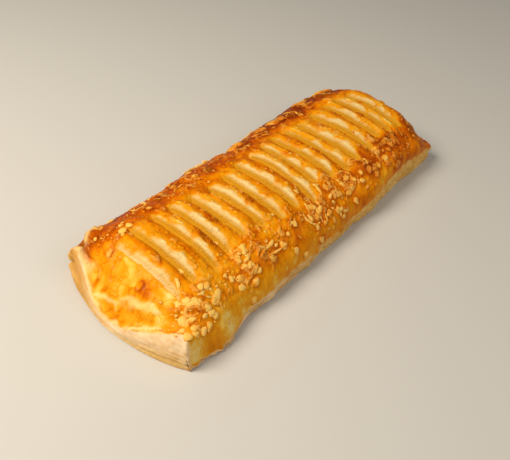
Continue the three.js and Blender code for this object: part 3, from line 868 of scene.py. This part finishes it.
def ramp(tree, share, stops):
    node = addNode(tree, "ShaderNodeValToRGB", in_Fac=share)
    band = node.color_ramp
    while len(band.elements) > 1:
        band.elements.remove(band.elements[-1])
    band.elements[0].position, band.elements[0].color = stops[0][0], tint(stops[0][1])
    for place, code in stops[1:]:
        band.elements.new(place).color = tint(code)
    return node.outputs["Color"]


def objectPlace(tree):
    return addNode(tree, "ShaderNodeTexCoord").outputs["Object"]


def newGroup(name, inputs, outputs):
    group = bpy.data.node_groups.new(name, "ShaderNodeTree")
    for label, kind, value in inputs:
        socket = group.interface.new_socket(label, in_out="INPUT", socket_type=kind)
        if value is not None:
            socket.default_value = value
    for label, kind in outputs:
        group.interface.new_socket(label, in_out="OUTPUT", socket_type=kind)
    return group, group.nodes.new("NodeGroupInput"), group.nodes.new("NodeGroupOutput")


def useGroup(tree, group, **inputs):
    node = tree.nodes.new("ShaderNodeGroup")
    node.node_tree = group
    for key, value in inputs.items():
        target = node.inputs[key]
        if isinstance(value, bpy.types.NodeSocket):
            tree.links.new(value, target)
        else:
            target.default_value = value
    return node


# Toast mottling: two sizes of soft noise summed into one value about 0, and thin lines where a third
# noise crosses its middle.
def makeMottle():
    group, source, sink = newGroup("toastMottle", [
        ("Place", "NodeSocketVector", None), ("Coarse", "NodeSocketFloat", 90.0),
        ("Fine", "NodeSocketFloat", 420.0)],
        [("Value", "NodeSocketFloat"), ("Height", "NodeSocketFloat"), ("Lines", "NodeSocketFloat")])
    place = source.outputs["Place"]
    coarse = addNode(group, "ShaderNodeTexNoise", in_Vector=place, in_Scale=source.outputs["Coarse"],
                     in_Detail=3.0, in_Roughness=0.55)
    fine = addNode(group, "ShaderNodeTexNoise", in_Vector=place, in_Scale=source.outputs["Fine"],
                   in_Detail=4.0, in_Roughness=0.6)
    wide = maths(group, "SUBTRACT", coarse.outputs["Fac"], 0.5)
    small = maths(group, "SUBTRACT", fine.outputs["Fac"], 0.5)
    value = maths(group, "MULTIPLY_ADD", small, 0.55, wide)
    height = maths(group, "MULTIPLY_ADD", coarse.outputs["Fac"], 0.6, fine.outputs["Fac"])
    crinkle = addNode(group, "ShaderNodeTexNoise", in_Vector=place, in_Scale=170.0, in_Detail=3.0)
    level = maths(group, "ABSOLUTE", maths(group, "SUBTRACT", crinkle.outputs["Fac"], 0.5))
    lines = maths(group, "SUBTRACT", 1.0, maths(group, "MULTIPLY", level, 22.0), clamp=True)
    group.links.new(value, sink.inputs["Value"])
    group.links.new(height, sink.inputs["Height"])
    group.links.new(lines, sink.inputs["Lines"])
    return group


# Layers of dough: wavy lines a given distance apart, along a height that is handed in.
def makeLayers():
    group, source, sink = newGroup("doughLayers", [
        ("Place", "NodeSocketVector", None), ("Along", "NodeSocketFloat", 0.0),
        ("Wobble", "NodeSocketFloat", 1.0)],
        [("Line", "NodeSocketFloat"), ("Height", "NodeSocketFloat")])
    warp = addNode(group, "ShaderNodeTexNoise", in_Vector=source.outputs["Place"], in_Scale=70.0,
                   in_Detail=3.0)
    shift = maths(group, "MULTIPLY", warp.outputs["Fac"], source.outputs["Wobble"])
    wave = maths(group, "SINE", maths(group, "MULTIPLY", maths(group, "ADD", source.outputs["Along"], shift),
                                      2 * math.pi))
    line = maths(group, "POWER", maths(group, "MULTIPLY_ADD", wave, 0.5, 0.5), 3.0)
    group.links.new(line, sink.inputs["Line"])
    group.links.new(wave, sink.inputs["Height"])
    return group


toastMottle = makeMottle()
doughLayers = makeLayers()

# Melted specks of cheese: the cells of a random pattern, as many as Share lets through, each with a pale
# top, a browned ring and its own shade.
def makeSpecks():
    group, source, sink = newGroup("cheeseSpecks", [
        ("Place", "NodeSocketVector", None), ("Scale", "NodeSocketFloat", 700.0),
        ("Share", "NodeSocketFloat", 0.5)],
        [("Top", "NodeSocketFloat"), ("Ring", "NodeSocketFloat")])
    cells = addNode(group, "ShaderNodeTexVoronoi", in_Vector=source.outputs["Place"],
                    in_Scale=source.outputs["Scale"])
    chance = addNode(group, "ShaderNodeSeparateColor", in_0=cells.outputs["Color"])
    present = maths(group, "LESS_THAN", chance.outputs[0], source.outputs["Share"])
    gap = maths(group, "DIVIDE", cells.outputs["Distance"],
                maths(group, "MULTIPLY_ADD", chance.outputs[1], 0.22, 0.26))
    top = maths(group, "SUBTRACT", 1.0, maths(group, "MULTIPLY", gap, gap), clamp=True)
    ring = maths(group, "SUBTRACT", 1.0, maths(group, "MULTIPLY", maths(group, "ABSOLUTE", maths(
        group, "SUBTRACT", gap, 1.15)), 3.2), clamp=True)
    group.links.new(maths(group, "MULTIPLY", top, present), sink.inputs["Top"])
    group.links.new(maths(group, "MULTIPLY", ring, present), sink.inputs["Ring"])
    return group


cheeseSpecks = makeSpecks()

# The valley colour is painted shade at the slits' feet; the wall's shade colour is painted shade in its creases.
crustLook = {
    "glaze": ((0.0, "#f0cb74"), (0.1, "#edb844"), (0.22, "#e99e18"), (0.42, "#e48a02"), (0.6, "#d06c00"),
              (0.78, "#b24c00"), (1.0, "#822e00")),
    "doughEdge": "#dd9410", "dough": "#dda63c", "doughLight": "#e8cd8e", "shadedValley": "#c68b19",
    "layerShade": "#dca040", "rim": "#f2cd84",
    "endWall": "#f2d3a8", "wall": "#efc678", "wallShade": "#bb8030", "wallBrown": "#dc9c3c", "under": "#b9823c",
    "meltLow": "#d8851a", "meltTop": "#f0b658",
    "mottle": 0.9, "endMottle": 0.42, "roughness": 0.42, "doughRoughness": 0.62, "coat": 0.06, "specular": 0.04,
    "specularTint": (1.0, 0.84, 0.6, 1.0),
    "bump": 0.75, "crumbScale": 1400.0, "crumbShade": 1.6, "crumbRelief": 2.0,
}


def crustMaterial(look):
    material = bpy.data.materials.new("glazedCrust")
    material.use_nodes = True
    tree = material.node_tree
    shader = tree.nodes["Principled BSDF"]
    place = objectPlace(tree)
    mottle = useGroup(tree, toastMottle, Place=place, Coarse=95.0, Fine=430.0)
    share = attribute(tree, "speckle")
    specks = useGroup(tree, cheeseSpecks, Place=place, Scale=680.0, Share=share)
    crumbs = useGroup(tree, cheeseSpecks, Place=place, Scale=400.0, Share=maths(tree, "MULTIPLY", share, 0.75))
    atEnd = attribute(tree, "crinkle")
    amount = maths(tree, "MULTIPLY_ADD", atEnd, look["endMottle"] - look["mottle"], look["mottle"])
    brown = maths(tree, "MULTIPLY_ADD", mottle.outputs["Value"], amount, attribute(tree, "browning"))
    crinkle = maths(tree, "MULTIPLY", mottle.outputs["Lines"], atEnd)
    tops = maths(tree, "MAXIMUM", specks.outputs["Top"], crumbs.outputs["Top"])
    rings = maths(tree, "MAXIMUM", specks.outputs["Ring"], crumbs.outputs["Ring"])
    brown = maths(tree, "MULTIPLY_ADD", crinkle, 0.16, brown)
    brown = maths(tree, "MULTIPLY_ADD", rings, 0.16, brown)
    brown = maths(tree, "MULTIPLY_ADD", tops, -0.24, brown, clamp=True)
    glaze = ramp(tree, brown, look["glaze"])
    cut, foot = attribute(tree, "cutFace"), attribute(tree, "slitFootShade")
    split = addNode(tree, "ShaderNodeSeparateXYZ", in_0=place)
    layers = useGroup(tree, doughLayers, Place=place,
                      Along=maths(tree, "MULTIPLY", split.outputs["X"], 850.0), Wobble=2.0)
    core = maths(tree, "MULTIPLY_ADD", maths(tree, "SUBTRACT", cut, foot), 2.2, -0.43)
    crumb = addNode(tree, "ShaderNodeTexNoise", in_Vector=place, in_Scale=look["crumbScale"], in_Detail=2.0)
    crumbLevel = maths(tree, "SUBTRACT", crumb.outputs["Fac"], 0.5)
    core = maths(tree, "MULTIPLY_ADD", crumbLevel, look["crumbShade"], core)
    grains = maths(tree, "MULTIPLY_ADD", mottle.outputs["Value"], 1.7, core, clamp=True)
    dough = blendColor(tree, grains, tint(look["dough"]), tint(look["doughLight"]))
    dough = blendColor(tree, maths(tree, "MULTIPLY", layers.outputs["Line"], 0.35), dough,
                       tint(look["layerShade"]))
    # Painted shade: the cut face darkens to the valley colour at the slit's foot, where the strip before it shades it.
    dough = blendColor(tree, foot, dough, tint(look["shadedValley"]))
    cutMottled = maths(tree, "MULTIPLY_ADD", mottle.outputs["Value"], 0.6, cut)
    inward = addNode(tree, "ShaderNodeMapRange", in_Value=cutMottled, in_1=0.25, in_2=0.95)
    edging = addNode(tree, "ShaderNodeMapRange", in_Value=cutMottled, in_1=0.02, in_2=0.4)
    top = blendColor(tree, edging.outputs["Result"], glaze, tint(look["doughEdge"]))
    top = blendColor(tree, inward.outputs["Result"], top, dough)
    # Painted shade again at the slit's foot, over glaze and dough alike.
    top = blendColor(tree, maths(tree, "MULTIPLY", foot, 0.8), top, tint(look["shadedValley"]))
    melt = attribute(tree, "melt")
    meltShare = maths(tree, "MULTIPLY_ADD", mottle.outputs["Value"], 0.5, melt, clamp=True)
    meltColor = ramp(tree, meltShare, ((0.3, look["meltLow"]), (0.85, look["meltTop"])))
    top = blendColor(tree, maths(tree, "MULTIPLY", melt, 0.8, clamp=True), top, meltColor)
    top = blendColor(tree, attribute(tree, "rimLine"), top, tint(look["rim"]))
    wallLines = useGroup(tree, doughLayers, Place=place,
                         Along=maths(tree, "MULTIPLY", split.outputs["Z"], 560.0), Wobble=0.9)
    wall = blendColor(tree, attribute(tree, "endFace"), tint(look["wall"]), tint(look["endWall"]))
    lining = maths(tree, "MULTIPLY_ADD", attribute(tree, "endFace"), -0.2, 0.26, clamp=True)
    wall = blendColor(tree, maths(tree, "MULTIPLY", wallLines.outputs["Line"], lining), wall,
                      tint(look["wallShade"]))
    wall = blendColor(tree, maths(tree, "MULTIPLY_ADD", mottle.outputs["Value"], 2.0, 0.25, clamp=True), wall,
                      tint(look["wallBrown"]))
    # Painted shade on the wall: leaf creases, the corner crack and the back of the near end face.
    wall = blendColor(tree, maths(tree, "MULTIPLY", attribute(tree, "paintedShade"), 0.8), wall,
                      tint(look["wallShade"]))
    wall = blendColor(tree, attribute(tree, "under"), wall, tint(look["under"]))
    layered = attribute(tree, "layered")
    color = blendColor(tree, layered, top, wall)
    tree.links.new(color, shader.inputs["Base Color"])
    bare = maths(tree, "MAXIMUM", layered, maths(tree, "MAXIMUM", cut, attribute(tree, "rimLine")))
    gloss = maths(tree, "SUBTRACT", 1.0, bare)
    rough = maths(tree, "MULTIPLY_ADD", bare, look["doughRoughness"] - look["roughness"], look["roughness"])
    tree.links.new(rough, shader.inputs["Roughness"])
    tree.links.new(maths(tree, "MULTIPLY", gloss, look["coat"]), shader.inputs["Coat Weight"])
    shader.inputs["Coat Roughness"].default_value = 0.16
    shader.inputs["Coat IOR"].default_value = 1.35
    shader.inputs["Specular IOR Level"].default_value = look["specular"]
    shader.inputs["Specular Tint"].default_value = look["specularTint"]
    shader.inputs["Subsurface Weight"].default_value = 0.05
    shader.inputs["Subsurface Radius"].default_value = (1.0, 0.6, 0.25)
    shader.inputs["Subsurface Scale"].default_value = 0.001
    height = maths(tree, "MULTIPLY_ADD", maths(tree, "MULTIPLY", layers.outputs["Height"], cut), 0.25,
                   mottle.outputs["Height"])
    ribs = maths(tree, "MULTIPLY", wallLines.outputs["Height"], maths(tree, "MULTIPLY", layered, lining))
    height = maths(tree, "MULTIPLY_ADD", ribs, 0.9, height)
    height = maths(tree, "MULTIPLY_ADD", tops, 0.9, height)
    height = maths(tree, "MULTIPLY_ADD", maths(tree, "MULTIPLY", crumbLevel, cut), look["crumbRelief"], height)
    height = maths(tree, "MULTIPLY_ADD", crinkle, -0.35, height)
    bump = addNode(tree, "ShaderNodeBump", in_Height=height, in_Strength=look["bump"], in_Distance=0.0004)
    tree.links.new(bump.outputs["Normal"], shader.inputs["Normal"])
    return material


flakeLook = {
    "low": "#c07c14", "middle": "#dfa544", "tip": "#f2cf92", "mottle": 0.5,
    "roughness": 0.6, "coat": 0.0, "specular": 0.1, "bump": 0.4,
}
cheeseLook = {
    "low": "#cc6e08", "middle": "#ea9a26", "tip": "#f6c05c", "mottle": 1.2,
    "roughness": 0.45, "coat": 0.08, "specular": 0.15, "bump": 0.7,
}


def toppingMaterial(name, look):
    material = bpy.data.materials.new(name)
    material.use_nodes = True
    tree = material.node_tree
    shader = tree.nodes["Principled BSDF"]
    place = objectPlace(tree)
    mottle = useGroup(tree, toastMottle, Place=place, Coarse=300.0, Fine=1000.0)
    share = maths(tree, "MULTIPLY_ADD", mottle.outputs["Value"], look["mottle"], attribute(tree, "rise"))
    share = maths(tree, "MULTIPLY_ADD", attribute(tree, "tone"), 0.3, maths(tree, "SUBTRACT", share, 0.17))
    color = ramp(tree, share, ((0.54, look["low"]), (0.77, look["middle"]), (1.0, look["tip"])))
    tree.links.new(color, shader.inputs["Base Color"])
    shader.inputs["Roughness"].default_value = look["roughness"]
    shader.inputs["Coat Weight"].default_value = look["coat"]
    shader.inputs["Coat Roughness"].default_value = 0.25
    shader.inputs["Specular IOR Level"].default_value = look["specular"]
    shader.inputs["Subsurface Weight"].default_value = 0.08
    shader.inputs["Subsurface Radius"].default_value = (1.0, 0.6, 0.25)
    shader.inputs["Subsurface Scale"].default_value = 0.001
    bump = addNode(tree, "ShaderNodeBump", in_Height=mottle.outputs["Height"], in_Strength=look["bump"],
                   in_Distance=0.0003)
    tree.links.new(bump.outputs["Normal"], shader.inputs["Normal"])
    return material


bakedBar.data.materials.append(crustMaterial(crustLook))
toastedCheese = toppingMaterial("toastedCheese", cheeseLook)
doughFlakes.data.materials.append(toppingMaterial("paleDough", flakeLook))
for piece in (cheeseCrumbs, cheeseShreds):
    piece.data.materials.append(toastedCheese)
print("materials made")


# The studio: a pale floor, a soft warm key light from the near left, and a dim even surround.
studio = {
    "floorSize": 3.0, "floorColor": "#c9c5bf", "keyAngle": 152.0, "keyHeight": 50.0, "keyDistance": 0.5,
    "keySize": 0.24, "keyPower": 2.6, "keyColor": (1.0, 0.92, 0.78),
    "fillAngle": -75.0, "fillHeight": 48.0, "fillDistance": 0.9, "fillSize": 0.9, "fillPower": 2.7,
    "fillColor": (1.0, 0.95, 0.86), "surround": (1.0, 0.97, 0.92), "surroundStrength": 0.15,
}


def makeFloor():
    half = studio["floorSize"] / 2
    mesh = bpy.data.meshes.new("floor")
    mesh.from_pydata([(-half, -half, 0), (half, -half, 0), (half, half, 0), (-half, half, 0)], [], [(0, 1, 2, 3)])
    floor = bpy.data.objects.new("floor", mesh)
    bpy.context.scene.collection.objects.link(floor)
    material = bpy.data.materials.new("paleFloor")
    material.use_nodes = True
    shader = material.node_tree.nodes["Principled BSDF"]
    shader.inputs["Base Color"].default_value = tint(studio["floorColor"])
    shader.inputs["Roughness"].default_value = 0.75
    mesh.materials.append(material)


def addLamp(name):
    turn, rise = math.radians(studio[name + "Angle"]), math.radians(studio[name + "Height"])
    away = Vector((math.cos(turn) * math.cos(rise), math.sin(turn) * math.cos(rise), math.sin(rise)))
    data = bpy.data.lights.new(name, "AREA")
    data.shape = "DISK"
    data.size = studio[name + "Size"]
    data.energy = studio[name + "Power"]
    data.color = studio[name + "Color"]
    lamp = bpy.data.objects.new(name, data)
    lamp.location = away * studio[name + "Distance"]
    lamp.rotation_mode = "QUATERNION"
    lamp.rotation_quaternion = away.to_track_quat("Z", "Y")
    bpy.context.scene.collection.objects.link(lamp)


def makeLights():
    addLamp("key")
    addLamp("fill")
    world = bpy.data.worlds.new("surround")
    world.use_nodes = True
    world.node_tree.nodes["Background"].inputs["Color"].default_value = (*studio["surround"], 1)
    world.node_tree.nodes["Background"].inputs["Strength"].default_value = studio["surroundStrength"]
    bpy.context.scene.world = world


makeFloor()
makeLights()
bpy.context.scene.view_settings.view_transform = "Standard"
print("studio made")
